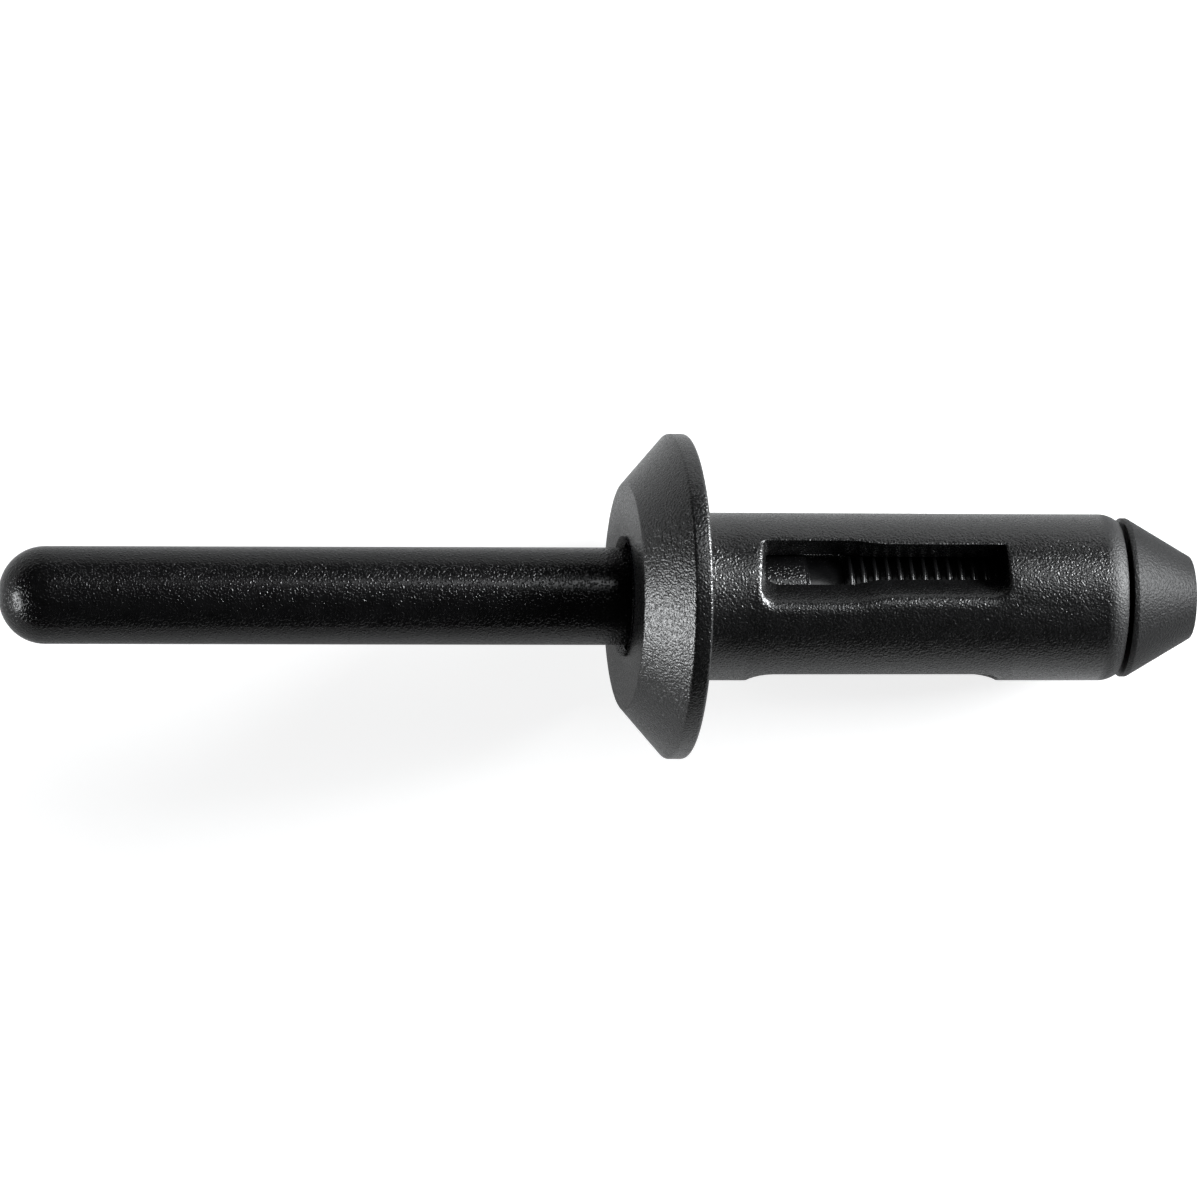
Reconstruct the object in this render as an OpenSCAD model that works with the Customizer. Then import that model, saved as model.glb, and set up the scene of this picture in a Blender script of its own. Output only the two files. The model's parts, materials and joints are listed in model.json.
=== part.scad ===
// Nylon blind rivet: a slotted body with a wide flange, and a toothed mandrel pulled through it.
// Lengths are in millimetres. Each piece is drawn along +Z, with the flange's seat at z = 0 and
// the blind end at +Z. Both are then laid on their side, as the loose rivet comes to rest.

/* [Flange] */
// Outside diameter of the flange
flange_d = 12.8; // [11:0.1:16]
// Outside diameter of the flat front face
flange_face_d = 8.95; // [7:0.05:10]
// Thickness from the seat to the front face
flange_t = 2.42; // [2.2:0.02:4]
// Length of the straight rim behind the cone
rim_t = 0.7; // [0.4:0.02:1.2]
// Rounding of the rim's edges
rim_round = 0.16; // [0.05:0.01:0.19]

/* [Barrel] */
// Outside diameter of the barrel, which passes through the panels
barrel_d = 6.6; // [6:0.1:8]
// Length of the barrel under the flange
barrel_l = 17.26; // [15.5:0.02:22]
// Radius of the lead-in at the barrel's blind end
lead_in_r = 1.15; // [0.8:0.05:1.5]
// Length of that lead-in along the axis
lead_in_l = 0.7; // [0.3:0.05:0.75]
// Draft of the legs: how much smaller the barrel's radius is past the slots
leg_draft = 0.02; // [0.01:0.01:0.08]

/* [Bore] */
// Radial gap between the mandrel's teeth and the bore
bore_gap = 0.1; // [0.05:0.01:0.2]
// Radial step from the bore to the recess in the front face
recess_step = 0.18; // [0.1:0.02:0.4]
// Depth of that recess
recess_l = 1.4; // [0.8:0.1:2]
// Radial gap between the pull stem and the lock rings in the bore
lock_gap = 0.05; // [0.02:0.01:0.09]
// Number of lock rings behind the recess
lock_rings = 3; // [1:1:5]

/* [Slots] */
// Distance from the seat to the slots
slot_start = 2.55; // [2.4:0.05:3.5]
// Length of the slots at the barrel's surface
slot_l = 10; // [8:0.1:11]
// Width of the two side slots near the flange
slot_w = 3; // [2.6:0.05:3.2]
// Width of all three slots near the blind end
slot_waist_w = 2.5; // [2:0.05:2.8]
// Slope of the slots' side walls, in degrees
slot_flare = 29; // [22:1:31]
// Sideways distance of the two side slots from the barrel's axis
slot_offset = 1.37; // [1.2:0.01:1.45]
// Slope of the slots' end walls next to the flange, in degrees
slot_start_slope = 14; // [5:1:20]
// Slope of the slots' end walls next to the blind end, in degrees
slot_end_slope = 4; // [0:1:15]
// Rounding of the two side slots' corners at the surface
slot_corner = 0.4; // [0.1:0.05:0.6]
// Rounding of the lower slot's corners at the surface
low_slot_corner = 0.8; // [0.1:0.05:0.9]
// Turn of the two side slots about the axis, as the rivet lies, in degrees
slot_turn = 3; // [-6:0.5:6]

/* [Mandrel] */
// Diameter of the pull stem
stem_d = 3.84; // [3.2:0.02:4]
// Length of the pull stem in front of the flange
stem_out = 24.85; // [18:0.05:32]
// Diameter of the flat on the stem's domed tip
tip_flat_d = 0.2; // [0.1:0.05:0.6]
// Diameter of the neck where the stem breaks off
neck_d = 3.3; // [2.2:0.05:3.35]
// Distance from the seat to the neck
neck_start = 4.7; // [4:0.02:5.5]
// Length of the neck
neck_l = 1.38; // [0.8:0.02:2]
// Bevel at the stem's end, before the neck
neck_bevel = 0.2; // [0.1:0.05:0.25]

/* [Teeth] */
// Radial height of the teeth above the pull stem
tooth_rise = 0.08; // [0.05:0.01:0.1]
// Depth of the grooves between the teeth
tooth_depth = 0.24; // [0.1:0.01:0.28]
// Distance from tooth to tooth
tooth_pitch = 0.49; // [0.42:0.01:0.6]
// Length of the toothed stretch
toothed_l = 7.4; // [5:0.1:8.5]

/* [Nose] */
// Radial step from the barrel down to the nose
nose_step = 0.17; // [0.05:0.01:0.4]
// Gap between the barrel's end and the nose
nose_gap = 0.18; // [0.1:0.02:0.4]
// Length of the nose's straight shoulder
shoulder_l = 0.23; // [0.15:0.01:0.6]
// Length of the nose's cone
cone_l = 2.62; // [1.5:0.02:4]
// Diameter of the flat at the end of the nose
nose_end_d = 3.2; // [2:0.02:4.5]
// Rounding of that flat's edge
nose_round = 0.12; // [0.05:0.01:0.3]

/* [Hidden] */
$fn = 96;
body_colour = [0.13, 0.13, 0.135];
mandrel_colour = [0.08, 0.08, 0.085];
// Degrees of turn for each straight step of a rounded corner
arc_step = 9;
// Share of a slot's length at which it starts and stops narrowing
waist_from = 0.36;
waist_to = 0.52;
// Steps along a slot's rounded corners and along its waist
corner_steps = 5;
waist_steps = 8;
// How far the slot cutters stand clear of the barrel's surface
cutter_over = 0.4;
// Height of the slot cutters' inner end above the axis, as a share of the bore's radius
cutter_floor = 0.4;
// Least half width of that inner end
cutter_tip = 0.04;
// Parts of a tooth along its pitch: sloped front, flat crest, steep back, and the groove's floor
tooth_front = 0.38;
tooth_crest = 0.28;
tooth_back = 0.08;

flange_r = flange_d / 2;
barrel_r = barrel_d / 2;
blind_r = barrel_r - leg_draft;
stem_r = stem_d / 2;
tooth_r = stem_r + tooth_rise;
bore_r = tooth_r + bore_gap;
lock_r = stem_r + lock_gap;
recess_r = bore_r + recess_step;
nose_r = barrel_r - nose_step;

front_z = -flange_t;
recess_z = front_z + recess_l;
lock_end_z = recess_z + lock_rings * tooth_pitch;
tip_z = front_z - stem_out;
neck_end_z = neck_start + neck_l;
nose_z = barrel_l + nose_gap;
shoulder_z = nose_z + shoulder_l;
nose_end_z = shoulder_z + cone_l;
tooth_count = floor(toothed_l / tooth_pitch);

// The loose rivet rests on the rim's rounded back edge and, past the flange, on whichever of the
// nose's shoulder and the barrel's end meets the floor first.
function tilt_onto(r, z) =
    let (drop = flange_r - rim_round - r, run = z + rim_round)
    atan2(drop, run) + asin(rim_round / norm([drop, run]));
lie_tilt = min(tilt_onto(nose_r, shoulder_z), tilt_onto(blind_r, barrel_l - lead_in_l));

function unit(v) = v / norm(v);
function turned(v, angle) =
    [v.x * cos(angle) - v.y * sin(angle), v.x * sin(angle) + v.y * cos(angle)];

// The points that round the corner b, between a and c, to radius r.
function rounded(a, b, c, r) =
    let (
        to_a = unit(a - b),
        to_c = unit(c - b),
        half = acos(to_a * to_c) / 2,
        centre = b + unit(to_a + to_c) * r / sin(half),
        start = b + to_a * r / tan(half) - centre,
        sweep = (180 - 2 * half) * sign(cross(a - b, c - b)) * -1,
        steps = ceil(abs(sweep) / arc_step)
    )
    [for (i = [0 : steps]) centre + turned(start, sweep * i / steps)];

// An eased rise from 0 to 1 as x goes from 0 to 1.
function eased(x) =
    let (t = min(max(x, 0), 1))
    t * t * (3 - 2 * t);

// Lays a piece drawn along +Z on its side, with its blind end towards +X and down to the floor.
module laid_down() {
    rotate([0, 90 + lie_tilt, 0]) children();
}

// One tooth of the mandrel, from the foot of its sloped front to the groove after it.
function tooth(z) = [
    [tooth_r - tooth_depth, z],
    [tooth_r, z + tooth_front * tooth_pitch],
    [tooth_r, z + (tooth_front + tooth_crest) * tooth_pitch],
    [tooth_r - tooth_depth, z + (tooth_front + tooth_crest + tooth_back) * tooth_pitch]
];

// One lock ring, from its sloped back to its steep front: the order runs towards the flange's face.
function lock_ring(z) = [
    [bore_r, z + tooth_pitch],
    [lock_r, z + (tooth_back + tooth_crest) * tooth_pitch],
    [lock_r, z + tooth_back * tooth_pitch],
    [bore_r, z]
];

// The barrel's wall has three stretches: plain by the flange, legs with a little draft, and plain again.
module flange_and_barrel_outline() {
    face_edge = [flange_face_d / 2, front_z];
    rim_front = [flange_r, -rim_t];
    rim_back = [flange_r, 0];
    barrel_root = [barrel_r, 0];
    lead_in_sweep = asin(lead_in_l / lead_in_r);
    lead_in_steps = ceil(lead_in_sweep / arc_step);
    lead_in = [for (i = [0 : lead_in_steps])
        [blind_r - lead_in_r, barrel_l - lead_in_l]
        + turned([lead_in_r, 0], lead_in_sweep * i / lead_in_steps)];
    polygon(concat(
        [[recess_r, front_z], face_edge],
        rounded(face_edge, rim_front, rim_back, rim_round),
        rounded(rim_front, rim_back, barrel_root, rim_round),
        [barrel_root, [barrel_r, slot_start + slot_corner], [blind_r, slot_start + slot_l - slot_corner]],
        lead_in,
        [[bore_r, barrel_l]],
        [for (i = [lock_rings - 1 : -1 : 0], p = lock_ring(recess_z + i * tooth_pitch)) p],
        [[recess_r, recess_z]]
    ));
}

// The cutter of one slot, which opens outwards along +X as the moulding core does, with its middle
// on y = 0. It narrows from w_start near the flange to w_end near the blind end.
module slot_cutter(w_start, w_end, corner) {
    floor_x = cutter_floor * bore_r;
    top_x = barrel_r + cutter_over;
    depth = barrel_r - floor_x;
    slope_gain = (top_x - floor_x) / depth;
    floor_from = slot_start + depth * tan(slot_start_slope);
    floor_to = slot_start + slot_l - depth * tan(slot_end_slope);
    top_from = slot_start - cutter_over * tan(slot_start_slope);
    top_to = slot_start + slot_l + cutter_over * tan(slot_end_slope);
    corner_share = corner / slot_l;
    corner_at = [for (i = [0 : corner_steps]) corner_share * (1 - cos(90 * i / corner_steps))];
    waist_at = [for (i = [0 : waist_steps]) waist_from + (waist_to - waist_from) * i / waist_steps];
    stations = concat(corner_at, waist_at, [for (i = [corner_steps : -1 : 0]) 1 - corner_at[i]]);

    // Half the width at the barrel's surface, rounded in at both ends.
    function surface_half(s) =
        let (
            middle = w_start + (w_end - w_start) * eased((s - waist_from) / (waist_to - waist_from)),
            to_end = min(s, 1 - s) * slot_l,
            lag = max(corner - to_end, 0)
        )
        middle / 2 - corner + sqrt(corner * corner - lag * lag);
    function floor_half(s) =
        max(cutter_tip, surface_half(s) - depth * tan(slot_flare));
    function top_half(s) = floor_half(s) + (surface_half(s) - floor_half(s)) * slope_gain;
    function ring(s) =
        let (
            floor_z = floor_from + s * (floor_to - floor_from),
            top_z = top_from + s * (top_to - top_from)
        )
        [
            [floor_x, floor_half(s), floor_z],
            [floor_x, -floor_half(s), floor_z],
            [top_x, -top_half(s), top_z],
            [top_x, top_half(s), top_z]
        ];
    sides = 4;
    last = len(stations) - 1;
    points = [for (s = stations, p = ring(s)) p];
    walls = [for (i = [0 : last - 1], k = [0 : sides - 1])
        let (a = i * sides + k, b = i * sides + (k + 1) % sides)
        each [[b, a, a + sides], [b, a + sides, b + sides]]];
    ends = [[0, 1, 2, 3], [for (k = [sides - 1 : -1 : 0]) last * sides + k]];
    polyhedron(points = points, faces = concat(walls, ends));
}

// The flanged body: one moulding, with two side slots and one slot below, about a third of a turn
// apart. The side slots run along the pull of the two side cores, so they lie off the axis.
module rivet_body() {
    color(body_colour) laid_down() difference() {
        rotate_extrude() flange_and_barrel_outline();
        for (side = [0, 1]) {
            rotate([0, 0, slot_turn]) mirror([side, 0, 0]) translate([0, slot_offset, 0])
                slot_cutter(slot_w, slot_waist_w, slot_corner);
        }
        rotate([0, 0, -90]) slot_cutter(slot_waist_w, slot_waist_w, low_slot_corner);
    }
}

module mandrel_outline() {
    tip_centre = [0, tip_z];
    tip_corner = [stem_r, tip_z];
    stem_end = [stem_r, neck_start - neck_bevel];
    shoulder_edge = [nose_r, shoulder_z];
    nose_corner = [nose_end_d / 2, nose_end_z];
    nose_centre = [0, nose_end_z];
    polygon(concat(
        [tip_centre],
        rounded(tip_centre, tip_corner, stem_end, stem_r - tip_flat_d / 2),
        [stem_end, [stem_r - neck_bevel, neck_start], [neck_d / 2, neck_start]],
        [[neck_d / 2, neck_end_z]],
        [for (i = [0 : tooth_count - 1], p = tooth(neck_end_z + i * tooth_pitch)) p],
        [[tooth_r - tooth_depth, neck_end_z + tooth_count * tooth_pitch]],
        [[tooth_r, neck_end_z + (tooth_count + tooth_front) * tooth_pitch]],
        [[tooth_r, nose_z], [nose_r, nose_z], shoulder_edge],
        rounded(shoulder_edge, nose_corner, nose_centre, nose_round),
        [nose_centre]
    ));
}

// The mandrel: pull stem, break neck, toothed shank and nose, in one moulding.
module mandrel() {
    color(mandrel_colour) laid_down() rotate_extrude() mandrel_outline();
}

rivet_body();
mandrel();
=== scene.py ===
import json
import math

import bmesh
import bpy
from bpy.props import FloatProperty, FloatVectorProperty, IntProperty, PointerProperty
from mathutils import Matrix, Vector


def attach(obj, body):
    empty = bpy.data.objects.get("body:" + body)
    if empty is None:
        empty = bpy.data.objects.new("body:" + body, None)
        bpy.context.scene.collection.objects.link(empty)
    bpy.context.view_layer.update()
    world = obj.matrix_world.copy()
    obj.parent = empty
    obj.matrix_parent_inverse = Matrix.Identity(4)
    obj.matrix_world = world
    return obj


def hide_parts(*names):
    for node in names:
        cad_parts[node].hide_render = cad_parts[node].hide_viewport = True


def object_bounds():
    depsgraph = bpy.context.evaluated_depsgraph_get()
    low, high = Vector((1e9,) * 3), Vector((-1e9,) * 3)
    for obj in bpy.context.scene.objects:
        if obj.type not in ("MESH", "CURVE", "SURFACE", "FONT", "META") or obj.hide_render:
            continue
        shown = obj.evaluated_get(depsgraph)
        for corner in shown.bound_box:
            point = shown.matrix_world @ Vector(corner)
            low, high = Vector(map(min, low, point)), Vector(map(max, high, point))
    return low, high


bl_info = {
    "name": "Nylon blind rivet",
    "version": (1, 0, 0),
    "blender": (4, 5, 0),
    "location": "View3D > Sidebar > Rivet",
    "description": "An unset nylon blind rivet: slotted body, toothed mandrel and a pale floor",
    "category": "Add Mesh",
}

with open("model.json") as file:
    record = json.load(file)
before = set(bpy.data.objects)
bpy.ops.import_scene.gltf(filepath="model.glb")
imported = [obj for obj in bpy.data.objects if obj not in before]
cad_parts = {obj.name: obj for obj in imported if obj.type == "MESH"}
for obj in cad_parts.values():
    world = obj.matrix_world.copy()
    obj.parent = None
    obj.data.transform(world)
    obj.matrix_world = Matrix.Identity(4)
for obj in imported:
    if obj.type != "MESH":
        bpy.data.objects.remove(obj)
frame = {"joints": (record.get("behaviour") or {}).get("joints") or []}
CAD_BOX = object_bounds()
MM = 0.001

# The rivet is drawn along +Z with the flange's seat at z = 0, then laid on its side. The body
# slides towards the stem's tip, so the other way along the joint points to the blind end.
TO_BLIND_END = -Vector(frame["joints"][0]["axis"]).normalized()
LAY_TURN = math.pi / 2 + math.asin(-TO_BLIND_END.z)
LAID_DOWN = Matrix.Rotation(LAY_TURN, 4, "Y")


def length(name, description, default_mm):
    """A size in metres, with its default given in millimetres."""
    return FloatProperty(
        name=name, description=description, default=default_mm * MM,
        min=0.0, precision=5, unit="LENGTH",
    )


def turn(name, description, default_deg):
    """An angle, with its default given in degrees."""
    return FloatProperty(
        name=name, description=description, default=math.radians(default_deg), unit="ROTATION",
    )


def share(name, description, default):
    """A share from 0 to 1."""
    return FloatProperty(
        name=name, description=description, default=default, min=0.0, max=1.0, subtype="FACTOR",
    )


def colour(name, description, default):
    """A linear colour."""
    return FloatVectorProperty(
        name=name, description=description, default=default, min=0.0, max=1.0, subtype="COLOR",
    )


class RivetBodySizes(bpy.types.PropertyGroup):
    """Sizes of the flanged body."""

    flange_r: length("Flange radius", "Outside radius of the flange", 6.4)
    face_r: length("Face radius", "Outside radius of the flat front face", 4.475)
    flange_t: length("Flange thickness", "From the seat to the front face", 2.42)
    rim_t: length("Rim length", "Straight rim behind the cone", 0.7)
    rim_round: length("Rim rounding", "Rounding of the rim's two edges", 0.16)
    face_round: length("Face edge rounding", "Rounding of the front face's edge", 0.14)
    recess_round: length("Recess edge rounding", "Rounding of the recess's mouth", 0.08)
    seat_round: length("Seat rounding", "Rounding where the barrel leaves the seat", 0.12)
    barrel_r: length("Barrel radius", "Outside radius of the barrel", 3.3)
    leg_draft: length("Leg draft", "How much smaller the barrel's radius is past the slots", 0.02)
    barrel_l: length("Barrel length", "From the seat to the blind end", 17.26)
    lead_in_r: length("Lead-in radius", "Radius of the lead-in at the blind end", 1.15)
    lead_in_l: length("Lead-in length", "Length of that lead-in along the axis", 0.7)
    end_round: length("End edge rounding", "Rounding of the barrel's end", 0.07)
    bore_r: length("Bore radius", "Radius of the bore that guides the mandrel", 2.1)
    lock_r: length("Lock ring radius", "Inside radius of the lock rings", 1.97)
    lock_pitch: length("Lock ring pitch", "From one lock ring to the next", 0.49)
    lock_rings: IntProperty(
        name="Lock rings", description="Number of lock rings behind the recess", default=3, min=1,
    )
    recess_r: length("Recess radius", "Radius of the recess in the front face", 2.28)
    recess_l: length("Recess depth", "Depth of that recess", 1.4)


class RivetSlotSizes(bpy.types.PropertyGroup):
    """Sizes of the three slots that part the barrel into legs."""

    start: length("Slot start", "From the seat to the slots", 2.5)
    run: length("Slot length", "Length of the slots at the surface", 9.95)
    wide: length("Wide width", "Width of the two side slots near the flange", 3.0)
    narrow: length("Narrow width", "Width of all three slots near the blind end", 2.5)
    waist_from: share("Waist start", "Share of the length where a side slot starts to narrow", 0.36)
    waist_to: share("Waist end", "Share of the length where it stops narrowing", 0.52)
    flare: turn("Wall slope", "Slope of the slots' side walls", 29)
    start_slope: turn("Start slope", "Slope of the end walls next to the flange", 14)
    end_slope: turn("End slope", "Slope of the end walls next to the blind end", 4)
    offset: length("Side offset", "Sideways distance of the two side slots from the axis", 1.37)
    near_corner: length("Near corners", "Rounding of the side slots' corners at the near lip", 0.6)
    far_corner: length("Far corners", "Rounding of the side slots' corners at the far lip", 0.15)
    low_corner: length("Lower corner rounding", "Rounding of the lower slot's corners", 0.8)
    start_lip: length("Start lip", "Rounding of the side slots' edge next to the flange", 0.2)
    near_lip: length("Near lip", "Rounding of the side slots' edge nearer the middle", 0.38)
    far_lip: length("Far lip", "Rounding of the side slots' edge further round the barrel", 0.07)
    end_lip: length("End lip", "Rounding of the side slots' edge next to the blind end", 0.1)
    low_lip: length("Lower slot lip", "Rounding of the lower slot's edges", 0.12)
    lies_at: turn("Slot turn", "Turn of the two side slots about the axis", 3)


class RivetMandrelSizes(bpy.types.PropertyGroup):
    """Sizes of the mandrel."""

    stem_r: length("Stem radius", "Radius of the pull stem", 1.92)
    stem_end: length("Stem reach", "From the flange's seat to the tip of the stem", 27.27)
    tip_flat_r: length("Tip flat", "Radius of the flat on the domed tip", 0.1)
    neck_r: length("Neck radius", "Radius of the neck where the stem breaks off", 1.65)
    neck_start: length("Neck start", "From the seat to the neck", 4.7)
    neck_l: length("Neck length", "Length of the neck", 1.38)
    neck_bevel: length("Stem end bevel", "Bevel at the stem's end, before the neck", 0.2)
    tooth_r: length("Tooth radius", "Outside radius of the teeth", 2.0)
    tooth_depth: length("Tooth depth", "Depth of the grooves between the teeth", 0.24)
    tooth_pitch: length("Tooth pitch", "From one tooth to the next", 0.49)
    tooth_count: IntProperty(
        name="Teeth", description="Number of teeth behind the neck", default=15, min=1,
    )
    tooth_round: length("Tooth rounding", "Rounding of the teeth's crests", 0.06)
    nose_r: length("Nose radius", "Radius of the nose's shoulder", 3.13)
    nose_start: length("Nose start", "From the seat to the nose", 17.44)
    shoulder_l: length("Shoulder length", "Straight stretch of the nose", 0.23)
    cone_l: length("Cone length", "Length of the nose's cone", 2.62)
    nose_end_r: length("Nose end radius", "Radius of the flat at the end of the nose", 1.6)
    nose_round: length("Nose rounding", "Rounding of that flat's edge", 0.16)


class RivetFinish(bpy.types.PropertyGroup):
    """Colours and grain of the two mouldings."""

    body_dark: colour("Body, dark", "Darker tone of the body's nylon", (0.0022, 0.0022, 0.0023))
    body_light: colour("Body, light", "Lighter tone of the body's nylon", (0.0044, 0.0044, 0.0046))
    stem_dark: colour("Mandrel, dark", "Darker tone of the mandrel's nylon", (0.002, 0.002, 0.0021))
    stem_light: colour(
        "Mandrel, light", "Lighter tone of the mandrel's nylon", (0.004, 0.004, 0.0042))
    body_rough: share("Body roughness", "Mean roughness of the body", 0.28)
    stem_rough: share("Stem roughness", "Mean roughness of the mandrel's stem", 0.22)
    shank_rough: share("Shank roughness", "Roughness of the smooth neck and teeth", 0.22)
    nose_rough: share("Nose roughness", "Mean roughness of the mandrel's nose", 0.53)
    end_rough: share("End roughness", "Roughness of the worn lead-in at the blind end", 0.56)
    grain: length("Grain size", "Size of the mould's spark-eroded grain", 0.09)
    stem_grain: length("Stem grain depth", "Depth of the sparse grain on the stem", 0.013)
    body_grain: length("Body grain depth", "Depth of the close grain on the body", 0.0085)
    nose_grain: length("Nose grain depth", "Depth of the close grain on the nose", 0.011)
    pit_slope: share("Pit slope", "Slope of the fine pits between the body's grains", 0.14)
    stem_gloss: share("Mandrel gloss", "Strength of the mandrel's gloss, 0.5 for clean nylon", 0.25)


class RivetStage(bpy.types.PropertyGroup):
    """Camera, floor and lights."""

    view_width: length("View width", "Width of the picture at the rivet's axis", 47.2)
    camera_height: length("Camera height", "Height of the camera above the axis", 900.0)
    camera_y: FloatProperty(
        name="Camera offset", description="Sideways place of the camera over the axis",
        default=-0.15 * MM, precision=5, unit="LENGTH",
    )
    camera_roll: turn("Camera roll", "Turn of the camera about its view", 0.13)
    floor_tone: colour("Floor", "Colour of the floor", (0.45, 0.45, 0.45))
    floor_half: length("Floor half width", "Half the width of the floor", 1500.0)
    floor_seen: share("Floor glow, seen", "The floor's own white as the camera sees it", 0.78)
    floor_mirrored: share("Floor glow, mirrored", "The same white as the gloss shows it", 0.18)


GROUPS = {
    "rivet_body_sizes": RivetBodySizes,
    "rivet_slot_sizes": RivetSlotSizes,
    "rivet_mandrel_sizes": RivetMandrelSizes,
    "rivet_finish": RivetFinish,
    "rivet_stage": RivetStage,
}

# How finely the shapes are drawn
SPIN_STEPS = 144
ROUND_SEGMENTS = 3
BOLD_ROUND_SEGMENTS = 5
DOME_SEGMENTS = 18
LIP_STEPS = 4
CORNER_STEPS = 5
BEFORE_WAIST_STEPS = 4
WAIST_STEPS = 8
AFTER_WAIST_STEPS = 5
LEAD_IN_STEPS = 6
MERGE = 1e-7
SAME_ANGLE = 1e-9
SMOOTH_UP_TO = math.radians(32)

# The moulding core of a slot: its reach past the barrel, its floor's height as a share of the
# bore's radius, and half the least width of that floor
CORE_OVER = 0.4 * MM
CORE_FLOOR = 0.4
CORE_TIP = 0.04 * MM
# Columns of the spun grid at which each slot's window starts and ends
WINDOW_COLUMNS = ((0, 18), (54, 72), (100, 116))
# From a slot's ends to the next plain rings of the barrel
PLAIN_MARGIN = 0.5 * MM
# Parts of a tooth along its pitch: sloped front, flat crest and steep back
TOOTH_FRONT = 0.38
TOOTH_CREST = 0.28
TOOTH_BACK = 0.08
# Rounding of the mandrel's plain edges
SOFT_EDGE = 0.05 * MM

NYLON_IOR = 1.55
# Flow marks: how many of them go to a grain, and their noise detail
FLOW_MARKS = 0.13
FLOW_DETAIL = 3.0
FINE_DETAIL = 0.7
# Where the noise starts to rise as a grain, and where the grain is at its full height
BODY_GRAINS = (0.46, 0.74)
STEM_GRAINS = (0.5, 0.76)
NOSE_GRAINS = (0.42, 0.72)
# How far the roughness strays from its mean
BODY_UNEVEN = 0.05
MANDREL_UNEVEN = 0.04
# Half the length over which one finish turns into the next
LEAD_IN_FADE = 0.15 * MM
NECK_FADE = 0.02 * MM

WHITE = (1.0, 1.0, 1.0, 1.0)
FLOOR_ROUGH = 0.9
# The surroundings' light at the horizon and overhead, and the heights between which it falls off
HORIZON_LIGHT = 1.0
OVERHEAD_LIGHT = 0.02
FALL_OFF = (0.03, 0.12)
SENSOR_WIDTH_MM = 36.0
CAMERA_SEES = (0.01, 10.0)
LAMP_TINT = (0.965, 0.985, 1.0)
# Soft boxes aimed at the rivet: name, place, width and height in metres, and power in watts
LAMPS = (
    ("low_key", (0.176, 0.067, 0.067), 0.12, 0.056, 1.3),
    ("from_stem_side", (-0.288, -0.056, 0.062), 0.15, 0.108, 0.86),
    ("high_key", (0.147, 0.147, 0.216), 0.1, 0.1, 0.14),
)


class Outline:
    """The half section of a turned shape: rings of (radius, z), some with a rounded corner."""

    def __init__(self, closed):
        self.closed = closed
        self.rings = []
        self.rounds = {}

    def add(self, radius, z, rounding=0.0, segments=ROUND_SEGMENTS):
        """Adds a ring and returns its number, which starts at 1."""
        self.rings.append((radius, z))
        number = len(self.rings)
        if rounding:
            self.rounds[number] = rounding, segments
        return number

    def corner_turn(self, number):
        """How far the outline turns at a ring."""
        here = Vector(self.rings[number - 1])
        before = here - Vector(self.rings[number - 2])
        after = Vector(self.rings[number % len(self.rings)]) - here
        return before.angle(after)


def spun(outline):
    """The outline turned once about Z, with each vertex's ring and column kept in layers."""
    bm = bmesh.new()
    ring = bm.verts.layers.int.new("ring")
    column = bm.verts.layers.int.new("column")
    section = []
    for number, (radius, z) in enumerate(outline.rings, 1):
        vert = bm.verts.new((radius, 0.0, z))
        vert[ring] = number
        section.append(vert)
    edges = [bm.edges.new(pair) for pair in zip(section, section[1:])]
    if outline.closed:
        edges.append(bm.edges.new((section[-1], section[0])))
    bmesh.ops.spin(
        bm, geom=section + edges, cent=(0, 0, 0), axis=(0, 0, 1), dvec=(0, 0, 0),
        angle=2 * math.pi, steps=SPIN_STEPS, use_merge=True,
    )
    bmesh.ops.remove_doubles(bm, verts=bm.verts[:], dist=MERGE)
    for vert in bm.verts:
        angle = math.atan2(vert.co.y, vert.co.x)
        vert[column] = round(angle / (2 * math.pi) * SPIN_STEPS) % SPIN_STEPS
    return bm, ring, column


def round_corners(bm, ring, outline):
    """Bevels each ring of the outline that has a rounding."""
    for number, (rounding, segments) in outline.rounds.items():
        edges = [e for e in bm.edges if all(v[ring] == number for v in e.verts)]
        if not edges:
            raise RuntimeError(f"ring {number} has no edges to round")
        bmesh.ops.bevel(
            bm, geom=edges, offset=rounding * math.tan(outline.corner_turn(number) / 2),
            offset_type="OFFSET", affect="EDGES", segments=segments, profile=0.5, material=-1,
            clamp_overlap=False,
        )


def finish_piece(bm, name, node, body, material):
    """Lays the shape down, closes it and makes it the piece that stands for a node."""
    bmesh.ops.remove_doubles(bm, verts=bm.verts[:], dist=MERGE)
    bmesh.ops.transform(bm, matrix=LAID_DOWN, verts=bm.verts[:])
    bmesh.ops.recalc_face_normals(bm, faces=bm.faces[:])
    if not all(edge.is_manifold for edge in bm.edges):
        raise RuntimeError(f"{name} is not closed")
    mesh = bpy.data.meshes.new(name)
    bm.to_mesh(mesh)
    bm.free()
    mesh.shade_smooth()
    mesh.set_sharp_from_angle(angle=SMOOTH_UP_TO)
    mesh.materials.append(material)
    piece = bpy.data.objects.new(name, mesh)
    bpy.context.scene.collection.objects.link(piece)
    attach(piece, body)
    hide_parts(node)


def eased(x):
    """An eased rise from 0 to 1 as x goes from 0 to 1."""
    x = min(max(x, 0.0), 1.0)
    return x * x * (3 - 2 * x)


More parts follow.
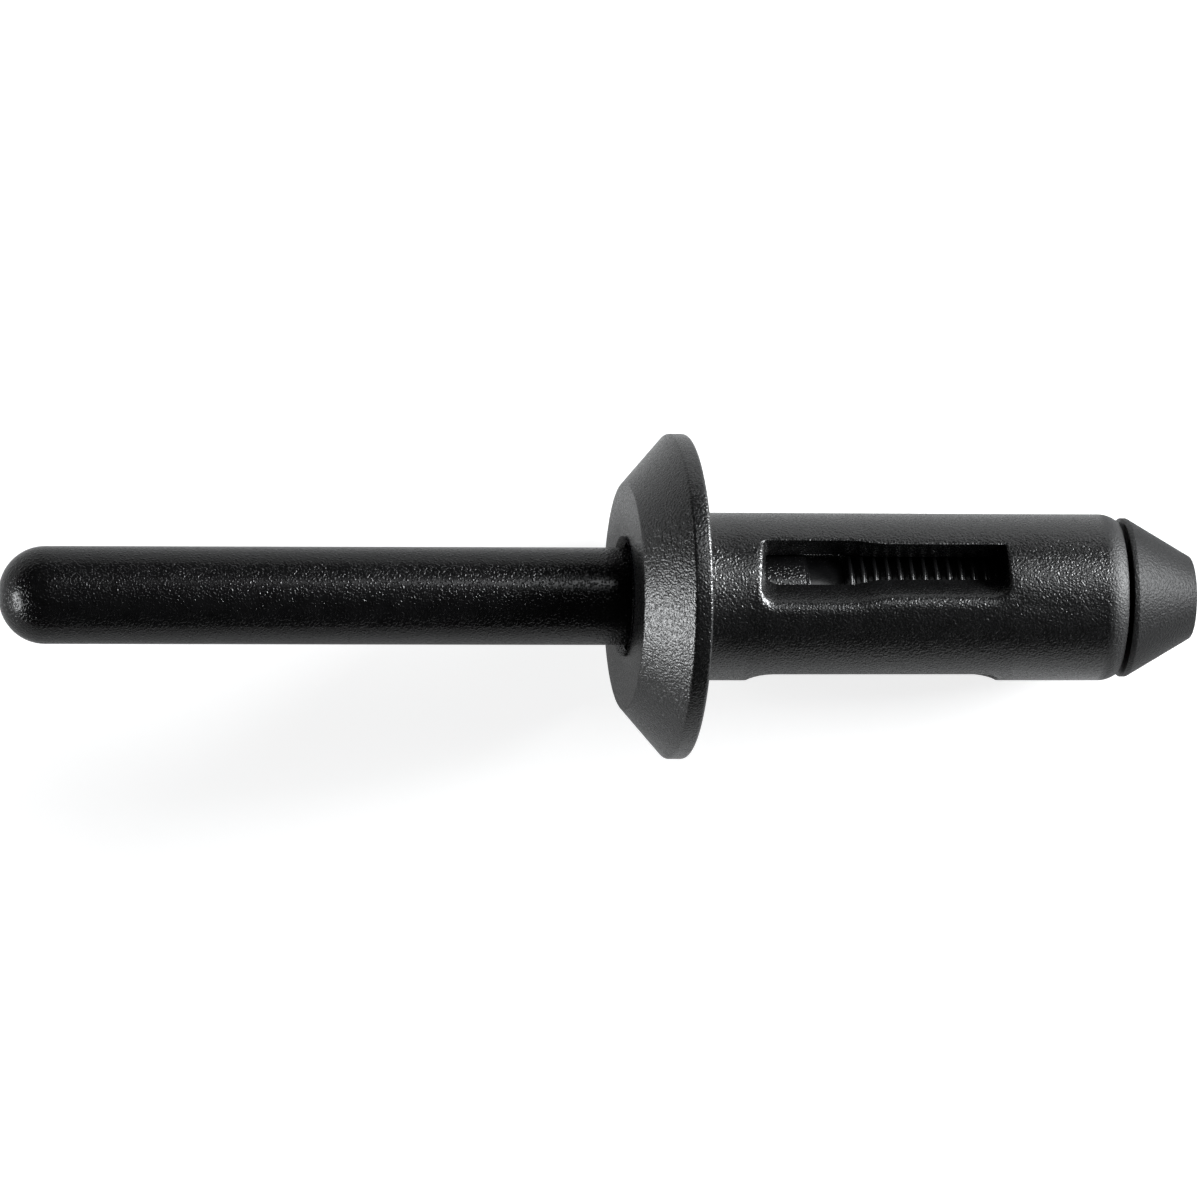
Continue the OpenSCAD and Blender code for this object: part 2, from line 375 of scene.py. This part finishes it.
def slot_stations(sizes, corner_round):
    """Stations along one side of a slot as (share of its length, slant of the outline's normal)."""
    corner_share = corner_round / sizes.run
    corner = []
    for step in range(CORNER_STEPS + 1):
        slant = math.pi / 2 * step / CORNER_STEPS
        corner.append((corner_share * (1 - math.cos(slant)), slant))
    waist = sizes.waist_to - sizes.waist_from
    before = sizes.waist_from - corner_share
    after = 1 - corner_share - sizes.waist_to
    shares = [corner_share + before * k / BEFORE_WAIST_STEPS for k in range(1, BEFORE_WAIST_STEPS)]
    shares += [sizes.waist_from + waist * k / WAIST_STEPS for k in range(WAIST_STEPS + 1)]
    shares += [sizes.waist_to + after * k / AFTER_WAIST_STEPS for k in range(1, AFTER_WAIST_STEPS)]
    middle = [(at, math.pi / 2) for at in shares]
    return corner + middle + [(1 - at, math.pi - slant) for at, slant in reversed(corner)]


class Slot:
    """One slot as its moulding core cuts it: where its lips and its inner edges run."""

    def __init__(self, sizes, body, across, along, columns):
        self.sizes, self.body = sizes, body
        self.across, self.along = Vector(across), Vector(along)
        self.first, self.last = columns
        self.flip = -1 if self.across.cross(self.along).z < 0 else 1
        self.offset, self.width = sizes.offset, (sizes.wide, sizes.narrow)
        self.corners = sizes.near_corner, sizes.far_corner
        self.lips = sizes.start_lip, sizes.near_lip, sizes.far_lip, sizes.end_lip
        self.turned = Matrix.Rotation(sizes.lies_at, 3, "Z")

    def as_lower(self):
        """The same slot in the middle of its side, as wide at both ends."""
        sizes = self.sizes
        self.offset, self.width = 0.0, (sizes.narrow, sizes.narrow)
        self.corners = sizes.low_corner, sizes.low_corner
        self.lips = (sizes.low_lip,) * 4
        self.turned = Matrix.Identity(3)
        return self

    def corner(self, side):
        """The rounding of the corners on one side."""
        near, far = self.corners
        return near if side < 0 else far

    def stations(self, side):
        """The stations along one side."""
        return slot_stations(self.sizes, self.corner(side))

    def lip(self, slant, side):
        """The lip's rounding, which changes round the slot's corners."""
        start, near, far, end = self.lips
        along = math.cos(slant)
        beside = near if side < 0 else far
        return (start if along > 0 else end) * along * along + beside * (1 - along * along)

    def side(self, column):
        """From -1 at one lip to 1 at the other, for a column of the window."""
        return self.flip * (2 * (column - self.first) / (self.last - self.first) - 1)

    def in_place(self, height, y, z):
        """A point of the slot's own plan, in the rivet's frame."""
        point = self.across * height + self.along * (y + self.offset)
        point.z = z
        return self.turned @ point

    def wall_line(self, at, slant, side):
        """The two ends of the core's line at a station, as (height, y, z)."""
        s, body = self.sizes, self.body
        floor_h = CORE_FLOOR * body.bore_r
        top_h = body.barrel_r + CORE_OVER
        depth = body.barrel_r - floor_h
        gain = (top_h - floor_h) / depth
        wide, narrow = self.width
        middle = wide + (narrow - wide) * eased((at - s.waist_from) / (s.waist_to - s.waist_from))
        lip_half = middle / 2 - self.corner(side) * (1 - math.sin(slant))
        floor_half = max(CORE_TIP, lip_half - depth * math.tan(s.flare))
        top_half = floor_half + (lip_half - floor_half) * gain
        end = s.start + s.run
        floor_from = s.start + depth * math.tan(s.start_slope)
        floor_to = end - depth * math.tan(s.end_slope)
        top_from = s.start - CORE_OVER * math.tan(s.start_slope)
        top_to = end + CORE_OVER * math.tan(s.end_slope)
        floor = Vector((floor_h, side * floor_half, floor_from + at * (floor_to - floor_from)))
        top = Vector((top_h, side * top_half, top_from + at * (top_to - top_from)))
        return floor, top

    def meets(self, line, radius):
        """Where a line of the core meets the cylinder of a radius about the rivet's axis."""
        floor, top = line
        run = top - floor
        shift = floor.y + self.offset
        a = run.x * run.x + run.y * run.y
        b = floor.x * run.x + shift * run.y
        c = floor.x * floor.x + shift * shift - radius * radius
        return floor + run * ((math.sqrt(b * b - a * c) - b) / a)

    def sharp_lip(self, at, slant, side):
        """The lip before rounding, on the barrel's drafted surface."""
        line = self.wall_line(at, slant, side)
        lip = self.meets(line, self.body.barrel_r)
        return self.meets(line, leg_radius(self.body, self.sizes, lip.z))

    def inner_edge(self, at, slant, side):
        """The slot's edge in the bore."""
        return self.meets(self.wall_line(at, slant, side), self.body.bore_r)

    def outer_edge(self, at, slant, side):
        """Where the lip's rounding starts on the barrel's surface."""
        lip, grown = self.sharp_lip(at, slant, side), self.lip(slant, side)
        y = lip.y + math.copysign(math.sin(slant), side) * grown
        z = lip.z - math.cos(slant) * grown
        radius = leg_radius(self.body, self.sizes, z)
        height = math.sqrt(radius * radius - (y + self.offset) ** 2)
        return Vector((height, y, z))

    def lip_points(self, at, slant, side):
        """The loops from the barrel's surface over the lip, down the wall and to the bore."""
        start = self.outer_edge(at, slant, side)
        corner = self.sharp_lip(at, slant, side)
        inner = self.inner_edge(at, slant, side)
        end = corner + (inner - corner).normalized() * self.lip(slant, side)
        points = []
        for step in range(1, LIP_STEPS + 1):
            t = step / LIP_STEPS
            points.append(start * (1 - t) ** 2 + corner * (2 * t * (1 - t)) + end * t * t)
        points.append(inner)
        return [self.in_place(*point) for point in points]


def leg_radius(body, slot, z):
    """The barrel's outside radius at a height, with the legs' draft."""
    start = slot.start + slot.near_corner
    run = slot.run - 2 * slot.near_corner
    return body.barrel_r - body.leg_draft * min(max((z - start) / run, 0.0), 1.0)


def body_outline(body, slot, stations):
    """The body's half section, and the numbers of the rings along the slots and next to them."""
    outline = Outline(closed=True)
    front = -body.flange_t
    blind_r = body.barrel_r - body.leg_draft
    slot_end = slot.start + slot.run
    outline.add(body.recess_r, front, body.recess_round)
    outline.add(body.face_r, front, body.face_round)
    outline.add(body.flange_r, -body.rim_t, body.rim_round, BOLD_ROUND_SEGMENTS)
    outline.add(body.flange_r, 0.0, body.rim_round, BOLD_ROUND_SEGMENTS)
    outline.add(body.barrel_r, 0.0, body.seat_round)
    outline.add(body.barrel_r, slot.start - PLAIN_MARGIN)
    outer = [outline.add(body.barrel_r, slot.start + at * slot.run) for at, _ in stations]
    past = outline.add(blind_r, slot_end + PLAIN_MARGIN)
    sweep = math.asin(body.lead_in_l / body.lead_in_r)
    for step in range(LEAD_IN_STEPS + 1):
        angle = sweep * step / LEAD_IN_STEPS
        outline.add(
            blind_r - body.lead_in_r * (1 - math.cos(angle)),
            body.barrel_l - body.lead_in_l + body.lead_in_r * math.sin(angle),
            body.end_round if step == LEAD_IN_STEPS else 0.0,
        )
    outline.add(body.bore_r, body.barrel_l, body.end_round)
    outline.add(body.bore_r, slot_end + PLAIN_MARGIN)
    inner = [outline.add(body.bore_r, slot.start + at * slot.run) for at, _ in reversed(stations)]
    inner.reverse()
    back = outline.add(body.bore_r, slot.start - PLAIN_MARGIN)
    recess_z = front + body.recess_l
    for number in reversed(range(body.lock_rings)):
        z = recess_z + number * body.lock_pitch
        outline.add(body.bore_r, z + body.lock_pitch)
        outline.add(body.lock_r, z + (TOOTH_BACK + TOOTH_CREST) * body.lock_pitch)
        outline.add(body.lock_r, z + TOOTH_BACK * body.lock_pitch)
        outline.add(body.bore_r, z)
    outline.add(body.recess_r, recess_z)
    return outline, outer, inner, (past, back)


def angle_of(point):
    """The angle of a point about the rivet's axis."""
    return math.atan2(point.y, point.x)


def turned_up_to(angle, before):
    """The same angle, raised by whole turns until it is not below another."""
    while angle < before - SAME_ANGLE:
        angle += 2 * math.pi
    return angle


def column_places(slots, edge_of, station):
    """Each column's (angle, z) along one row: on the slots' edges, and evenly between them."""
    anchors = []
    for slot in slots:
        end_row = station in (0, len(slot.stations(1)) - 1)
        columns = range(slot.first, slot.last + 1) if end_row else (slot.first, slot.last)
        for column in columns:
            side = slot.side(column)
            at, slant = slot.stations(side)[station]
            point = slot.in_place(*edge_of(slot)(at, slant, side))
            anchors.append((column, angle_of(point), point.z))
    unwound, before = [], None
    for column, angle, z in anchors:
        angle = angle if before is None else turned_up_to(angle, before)
        unwound.append((column, angle, z))
        before = angle
    column, angle, z = unwound[0]
    unwound.append((column + SPIN_STEPS, angle + 2 * math.pi, z))
    places = {}
    for (c0, a0, z0), (c1, a1, z1) in zip(unwound, unwound[1:]):
        for column in range(c0, c1):
            t = (column - c0) / (c1 - c0)
            places[column % SPIN_STEPS] = a0 + t * (a1 - a0), z0 + t * (z1 - z0)
    return places


class RIVET_OT_body(bpy.types.Operator):
    """Add the flanged body: one moulding with three slots between its legs"""

    bl_idname = "mesh.rivet_body_add"
    bl_label = "Rivet body"

    def execute(self, context):
        body, sizes = context.scene.rivet_body_sizes, context.scene.rivet_slot_sizes
        slots = [
            Slot(sizes, body, (1, 0, 0), (0, 1, 0), WINDOW_COLUMNS[0]),
            Slot(sizes, body, (-1, 0, 0), (0, 1, 0), WINDOW_COLUMNS[1]),
            Slot(sizes, body, (0, -1, 0), (1, 0, 0), WINDOW_COLUMNS[2]).as_lower(),
        ]
        outline, outer, inner, (past, back) = body_outline(body, sizes, slots[0].stations(-1))
        bm, ring, column = spun(outline)
        self.follow_slots(bm, ring, column, slots, outline, (outer, inner), (past, back))
        self.open_slots(bm, ring, column, slots, outer, inner)
        round_corners(bm, ring, outline)
        finish_piece(bm, "slotted_body", "rivet_body", "body", body_nylon(context))
        return {"FINISHED"}

    def follow_slots(self, bm, ring, column, slots, outline, rows, plain):
        """Slides the grid round the barrel so that its rows and columns run along the slots."""
        outer, inner = rows
        past, back = plain
        last = len(outer) - 1
        by_ring = {}
        for station in range(last + 1):
            by_ring[outer[station]] = column_places(slots, lambda slot: slot.outer_edge, station)
            by_ring[inner[station]] = column_places(slots, lambda slot: slot.inner_edge, station)
        by_flange = by_ring[outer[CORNER_STEPS]]
        by_end = by_ring[outer[last - CORNER_STEPS]]
        slot_rings = set(outer) | set(inner)
        for vert in bm.verts:
            number = vert[ring]
            radius, z = outline.rings[number - 1]
            if number in slot_rings:
                angle, z = by_ring[number][vert[column]]
                if number in outer:
                    radius = leg_radius(slots[0].body, slots[0].sizes, z)
            else:
                plain_row = by_end if past <= number < back else by_flange
                angle = plain_row[vert[column]][0]
            vert.co = radius * math.cos(angle), radius * math.sin(angle), z

    def open_slots(self, bm, ring, column, slots, outer, inner):
        """Opens the windows in the barrel and the bore, and joins them by the slots' walls."""
        station_of = {number: k for row in (outer, inner) for k, number in enumerate(row)}
        outer_rings, inner_rings = set(outer), set(inner)

        def inside(face, rings, slot):
            columns = [v[column] for v in face.verts]
            return (
                all(v[ring] in rings for v in face.verts)
                and all(slot.first <= c <= slot.last for c in columns)
                and max(columns) - min(columns) == 1
            )

        windows = [
            face for face in bm.faces
            if any(inside(face, rings, s) for rings in (outer_rings, inner_rings) for s in slots)
        ]
        bmesh.ops.delete(bm, geom=windows, context="FACES")
        for slot in slots:
            edges = [
                edge for edge in bm.edges if edge.is_boundary
                and all(v[ring] in outer_rings and slot.first <= v[column] <= slot.last
                        for v in edge.verts)
            ]
            points = {}
            for edge in edges:
                for vert in edge.verts:
                    key = vert[ring], vert[column]
                    if key not in points:
                        side = slot.side(vert[column])
                        at, slant = slot.stations(side)[station_of[vert[ring]]]
                        points[key] = slot.lip_points(at, slant, side)
            for loop in range(LIP_STEPS + 1):
                made = bmesh.ops.extrude_edge_only(bm, edges=edges)["geom"]
                edges = [item for item in made if isinstance(item, bmesh.types.BMEdge)]
                for vert in (item for item in made if isinstance(item, bmesh.types.BMVert)):
                    vert.co = points[vert[ring], vert[column]][loop]
            for edge in edges:
                for vert in edge.verts:
                    vert[ring] = 0
        bmesh.ops.remove_doubles(bm, verts=bm.verts[:], dist=MERGE)


class RIVET_OT_mandrel(bpy.types.Operator):
    """Add the mandrel: pull stem, break neck, toothed shank and nose in one moulding"""

    bl_idname = "mesh.rivet_mandrel_add"
    bl_label = "Rivet mandrel"

    def execute(self, context):
        s = context.scene.rivet_mandrel_sizes
        outline = Outline(closed=False)
        groove_r = s.tooth_r - s.tooth_depth
        neck_end = s.neck_start + s.neck_l
        outline.add(0.0, -s.stem_end)
        outline.add(s.stem_r, -s.stem_end, s.stem_r - s.tip_flat_r, DOME_SEGMENTS)
        outline.add(s.stem_r, s.neck_start - s.neck_bevel, SOFT_EDGE)
        outline.add(s.stem_r - s.neck_bevel, s.neck_start, SOFT_EDGE)
        outline.add(s.neck_r, s.neck_start, SOFT_EDGE)
        outline.add(s.neck_r, neck_end, SOFT_EDGE)
        for tooth in range(s.tooth_count + 1):
            z = neck_end + tooth * s.tooth_pitch
            crest = z + TOOTH_FRONT * s.tooth_pitch
            outline.add(groove_r, z, s.tooth_round)
            outline.add(s.tooth_r, crest, s.tooth_round)
            if tooth < s.tooth_count:
                back = crest + TOOTH_CREST * s.tooth_pitch
                outline.add(s.tooth_r, back, s.tooth_round)
                outline.add(groove_r, back + TOOTH_BACK * s.tooth_pitch, s.tooth_round)
        outline.add(s.tooth_r, s.nose_start, SOFT_EDGE)
        outline.add(s.nose_r, s.nose_start, SOFT_EDGE)
        outline.add(s.nose_r, s.nose_start + s.shoulder_l, 2 * SOFT_EDGE)
        nose_end = s.nose_start + s.shoulder_l + s.cone_l
        outline.add(s.nose_end_r, nose_end, s.nose_round, BOLD_ROUND_SEGMENTS)
        outline.add(0.0, nose_end)
        bm, ring, _ = spun(outline)
        round_corners(bm, ring, outline)
        finish_piece(
            bm, "toothed_mandrel", "mandrel", "mandrel", mandrel_nylon(context))
        return {"FINISHED"}


def new_material(name):
    """A new node material and its shader."""
    material = bpy.data.materials.new(name)
    material.use_nodes = True
    nodes, links = material.node_tree.nodes, material.node_tree.links
    return material, nodes, links, nodes["Principled BSDF"]


def noise(nodes, links, place, scale, detail):
    """A noise texture on the piece's own coordinates."""
    node = nodes.new("ShaderNodeTexNoise")
    node.inputs["Scale"].default_value = scale
    node.inputs["Detail"].default_value = detail
    links.new(place, node.inputs["Vector"])
    return node.outputs["Fac"]


def pits(nodes, links, place, size, slope):
    """The height of close, steep-sided pits, in metres."""
    node = nodes.new("ShaderNodeTexVoronoi")
    node.inputs["Scale"].default_value = 1.0 / size
    links.new(place, node.inputs["Vector"])
    return math_node(nodes, links, "MULTIPLY", node.outputs["Distance"], size * slope)


def spread(nodes, links, value, low, high, from_low=0.3, from_high=0.7):
    """A value spread from one range over another."""
    node = nodes.new("ShaderNodeMapRange")
    node.inputs["From Min"].default_value = from_low
    node.inputs["From Max"].default_value = from_high
    node.inputs["To Min"].default_value = low
    node.inputs["To Max"].default_value = high
    links.new(value, node.inputs["Value"])
    return node.outputs["Result"]


def tones(nodes, links, value, dark, light):
    """Two tones of one colour, mixed by a value."""
    node = nodes.new("ShaderNodeMix")
    node.data_type = "RGBA"
    node.inputs["A"].default_value = (*dark, 1.0)
    node.inputs["B"].default_value = (*light, 1.0)
    links.new(value, node.inputs["Factor"])
    return node.outputs["Result"]


def past_point(nodes, links, place, along, start, fade):
    """A value that rises from 0 to 1 where the surface passes a point along a direction."""
    dot = nodes.new("ShaderNodeVectorMath")
    dot.operation = "DOT_PRODUCT"
    dot.inputs[1].default_value = along
    links.new(place, dot.inputs[0])
    return spread(nodes, links, dot.outputs["Value"], 0.0, 1.0, start - fade, start + fade)


def math_node(nodes, links, operation, first, second):
    """A Math node; each input is a socket or a number."""
    node = nodes.new("ShaderNodeMath")
    node.operation = operation
    for socket, value in zip(node.inputs, (first, second)):
        if isinstance(value, (int, float)):
            socket.default_value = value
        else:
            links.new(value, socket)
    return node.outputs["Value"]


def nylon(name, finish, dark, light):
    """Black moulded nylon with faint flow marks; returns what its grain and gloss are set with."""
    material, nodes, links, shader = new_material(name)
    place = nodes.new("ShaderNodeTexCoord").outputs["Object"]
    cloud = noise(nodes, links, place, FLOW_MARKS / finish.grain, FLOW_DETAIL)
    links.new(
        tones(nodes, links, spread(nodes, links, cloud, 0.0, 1.0), dark, light),
        shader.inputs["Base Color"],
    )
    shader.inputs["IOR"].default_value = NYLON_IOR
    fine = noise(nodes, links, place, 1.0 / finish.grain, FINE_DETAIL)
    return material, nodes, links, shader, place, fine


def set_grain(nodes, links, shader, height):
    """Raises the grain on the surface, by a height in metres."""
    bump = nodes.new("ShaderNodeBump")
    bump.inputs["Strength"].default_value = 1.0
    bump.inputs["Distance"].default_value = 1.0
    links.new(height, bump.inputs["Height"])
    links.new(bump.outputs["Normal"], shader.inputs["Normal"])


def body_nylon(context):
    """The body's finish: close grain all over, duller on the lead-in at the blind end."""
    finish, sizes = context.scene.rivet_finish, context.scene.rivet_body_sizes
    material, nodes, links, shader, place, fine = nylon(
        "body_nylon_finish", finish, finish.body_dark, finish.body_light)
    end = past_point(
        nodes, links, place, TO_BLIND_END, sizes.barrel_l - sizes.lead_in_l, LEAD_IN_FADE)
    rough = spread(nodes, links, end, finish.body_rough, finish.end_rough, 0.0, 1.0)
    uneven = spread(nodes, links, fine, -BODY_UNEVEN, BODY_UNEVEN)
    links.new(math_node(nodes, links, "ADD", rough, uneven), shader.inputs["Roughness"])
    grains = spread(nodes, links, fine, 0.0, finish.body_grain, *BODY_GRAINS)
    between = pits(nodes, links, place, finish.grain, finish.pit_slope)
    set_grain(nodes, links, shader, math_node(nodes, links, "ADD", grains, between))
    return material


def mandrel_nylon(context):
    """The mandrel's finish: grained on the stem and the nose, smooth on the neck and the teeth."""
    finish, sizes = context.scene.rivet_finish, context.scene.rivet_mandrel_sizes
    material, nodes, links, shader, place, fine = nylon(
        "mandrel_nylon_finish", finish, finish.stem_dark, finish.stem_light)
    shader.inputs["Specular IOR Level"].default_value = finish.stem_gloss
    neck = past_point(nodes, links, place, TO_BLIND_END, sizes.neck_start, NECK_FADE)
    nose = past_point(nodes, links, place, TO_BLIND_END, sizes.nose_start, NECK_FADE)
    rough = math_node(
        nodes, links, "ADD",
        spread(nodes, links, neck, finish.stem_rough, finish.shank_rough, 0.0, 1.0),
        spread(nodes, links, nose, 0.0, finish.nose_rough - finish.shank_rough, 0.0, 1.0),
    )
    uneven = spread(nodes, links, fine, -MANDREL_UNEVEN, MANDREL_UNEVEN)
    links.new(math_node(nodes, links, "ADD", rough, uneven), shader.inputs["Roughness"])
    sparse = spread(nodes, links, fine, 0.0, 1.0, *STEM_GRAINS)
    dense = spread(nodes, links, fine, 0.0, finish.nose_grain, *NOSE_GRAINS)
    height = math_node(
        nodes, links, "ADD",
        math_node(nodes, links, "MULTIPLY", sparse,
                  spread(nodes, links, neck, finish.stem_grain, 0.0, 0.0, 1.0)),
        math_node(nodes, links, "MULTIPLY", dense, nose),
    )
    set_grain(nodes, links, shader, height)
    return material


def floor_glow(nodes, links, seen, mirrored):
    """The floor's own white: for the camera and glass, and somewhat less in a gloss."""
    path = nodes.new("ShaderNodeLightPath")
    straight = math_node(
        nodes, links, "MAXIMUM", path.outputs["Is Camera Ray"], path.outputs["Is Transmission Ray"])
    straight = math_node(nodes, links, "MULTIPLY", straight, seen)
    gloss = math_node(nodes, links, "MULTIPLY", path.outputs["Is Glossy Ray"], mirrored)
    return math_node(nodes, links, "MAXIMUM", straight, gloss)


class RIVET_OT_stage(bpy.types.Operator):
    """Add the camera, the pale floor and the soft lights"""

    bl_idname = "scene.rivet_stage_add"
    bl_label = "Rivet stage"

    def execute(self, context):
        scene = context.scene
        stage = scene.rivet_stage
        low, high = (Vector(corner) for corner in CAD_BOX)
        self.add_floor(context, stage, low.z)
        self.add_world(scene)
        self.add_camera(scene, stage, (low.x + high.x) / 2)
        for lamp in LAMPS:
            self.add_lamp(scene, *lamp)
        scene.view_settings.view_transform = "Standard"
        return {"FINISHED"}

    def add_floor(self, context, stage, z):
        """A pale floor that looks white and keeps the rivet's soft shadow."""
        bm = bmesh.new()
        bmesh.ops.create_grid(bm, x_segments=1, y_segments=1, size=stage.floor_half)
        bmesh.ops.translate(bm, vec=(0, 0, z), verts=bm.verts[:])
        mesh = bpy.data.meshes.new("floor")
        bm.to_mesh(mesh)
        bm.free()
        material, nodes, links, shader = new_material("floor_paint")
        shader.inputs["Base Color"].default_value = (*stage.floor_tone, 1.0)
        shader.inputs["Roughness"].default_value = FLOOR_ROUGH
        shader.inputs["Specular IOR Level"].default_value = 0.0
        shader.inputs["Emission Color"].default_value = WHITE
        glow = floor_glow(nodes, links, stage.floor_seen, stage.floor_mirrored)
        links.new(glow, shader.inputs["Emission Strength"])
        mesh.materials.append(material)
        floor = bpy.data.objects.new("floor", mesh)
        context.scene.collection.objects.link(floor)

    def add_world(self, scene):
        """Surroundings that are white at the horizon and dim above it."""
        world = bpy.data.worlds.new("surroundings")
        world.use_nodes = True
        nodes, links = world.node_tree.nodes, world.node_tree.links
        background = nodes["Background"]
        background.inputs["Color"].default_value = WHITE
        heights = nodes.new("ShaderNodeSeparateXYZ")
        links.new(nodes.new("ShaderNodeTexCoord").outputs["Generated"], heights.inputs["Vector"])
        light = spread(
            nodes, links, heights.outputs["Z"], HORIZON_LIGHT, OVERHEAD_LIGHT, *FALL_OFF)
        links.new(light, background.inputs["Strength"])
        scene.world = world

    def add_camera(self, scene, stage, x):
        """A far camera that looks straight down on the rivet."""
        data = bpy.data.cameras.new("camera")
        data.sensor_width = SENSOR_WIDTH_MM
        data.lens = data.sensor_width * stage.camera_height / stage.view_width
        data.clip_start, data.clip_end = CAMERA_SEES
        camera = bpy.data.objects.new("camera", data)
        camera.location = x, stage.camera_y, stage.camera_height
        camera.rotation_euler.z = stage.camera_roll
        scene.collection.objects.link(camera)
        scene.camera = camera

    def add_lamp(self, scene, name, place, width, height, power):
        """A soft box aimed at the rivet."""
        data = bpy.data.lights.new(name, "AREA")
        data.shape = "RECTANGLE"
        data.size, data.size_y = width, height
        data.energy = power
        data.color = LAMP_TINT
        lamp = bpy.data.objects.new(name, data)
        lamp.location = place
        lamp.rotation_euler = (-Vector(place)).to_track_quat("-Z", "Y").to_euler()
        scene.collection.objects.link(lamp)


OPERATORS = (RIVET_OT_body, RIVET_OT_mandrel, RIVET_OT_stage)


class RIVET_PT_panel(bpy.types.Panel):
    """The rivet's pieces, sizes and finish"""

    bl_idname = "RIVET_PT_panel"
    bl_label = "Nylon blind rivet"
    bl_space_type = "VIEW_3D"
    bl_region_type = "UI"
    bl_category = "Rivet"

    def draw(self, context):
        for operator in OPERATORS:
            self.layout.operator(operator.bl_idname)
        for name, group in GROUPS.items():
            box = self.layout.box()
            box.label(text=group.__doc__)
            values = getattr(context.scene, name)
            for prop in group.__annotations__:
                box.prop(values, prop)


CLASSES = (*GROUPS.values(), *OPERATORS, RIVET_PT_panel)


def register():
    for cls in CLASSES:
        bpy.utils.register_class(cls)
    for name, group in GROUPS.items():
        setattr(bpy.types.Scene, name, PointerProperty(type=group))


def unregister():
    for name in GROUPS:
        delattr(bpy.types.Scene, name)
    for cls in reversed(CLASSES):
        bpy.utils.unregister_class(cls)


def main():
    register()
    bpy.ops.mesh.rivet_body_add()
    bpy.ops.mesh.rivet_mandrel_add()
    bpy.ops.scene.rivet_stage_add()


if __name__ == "__main__":
    main()
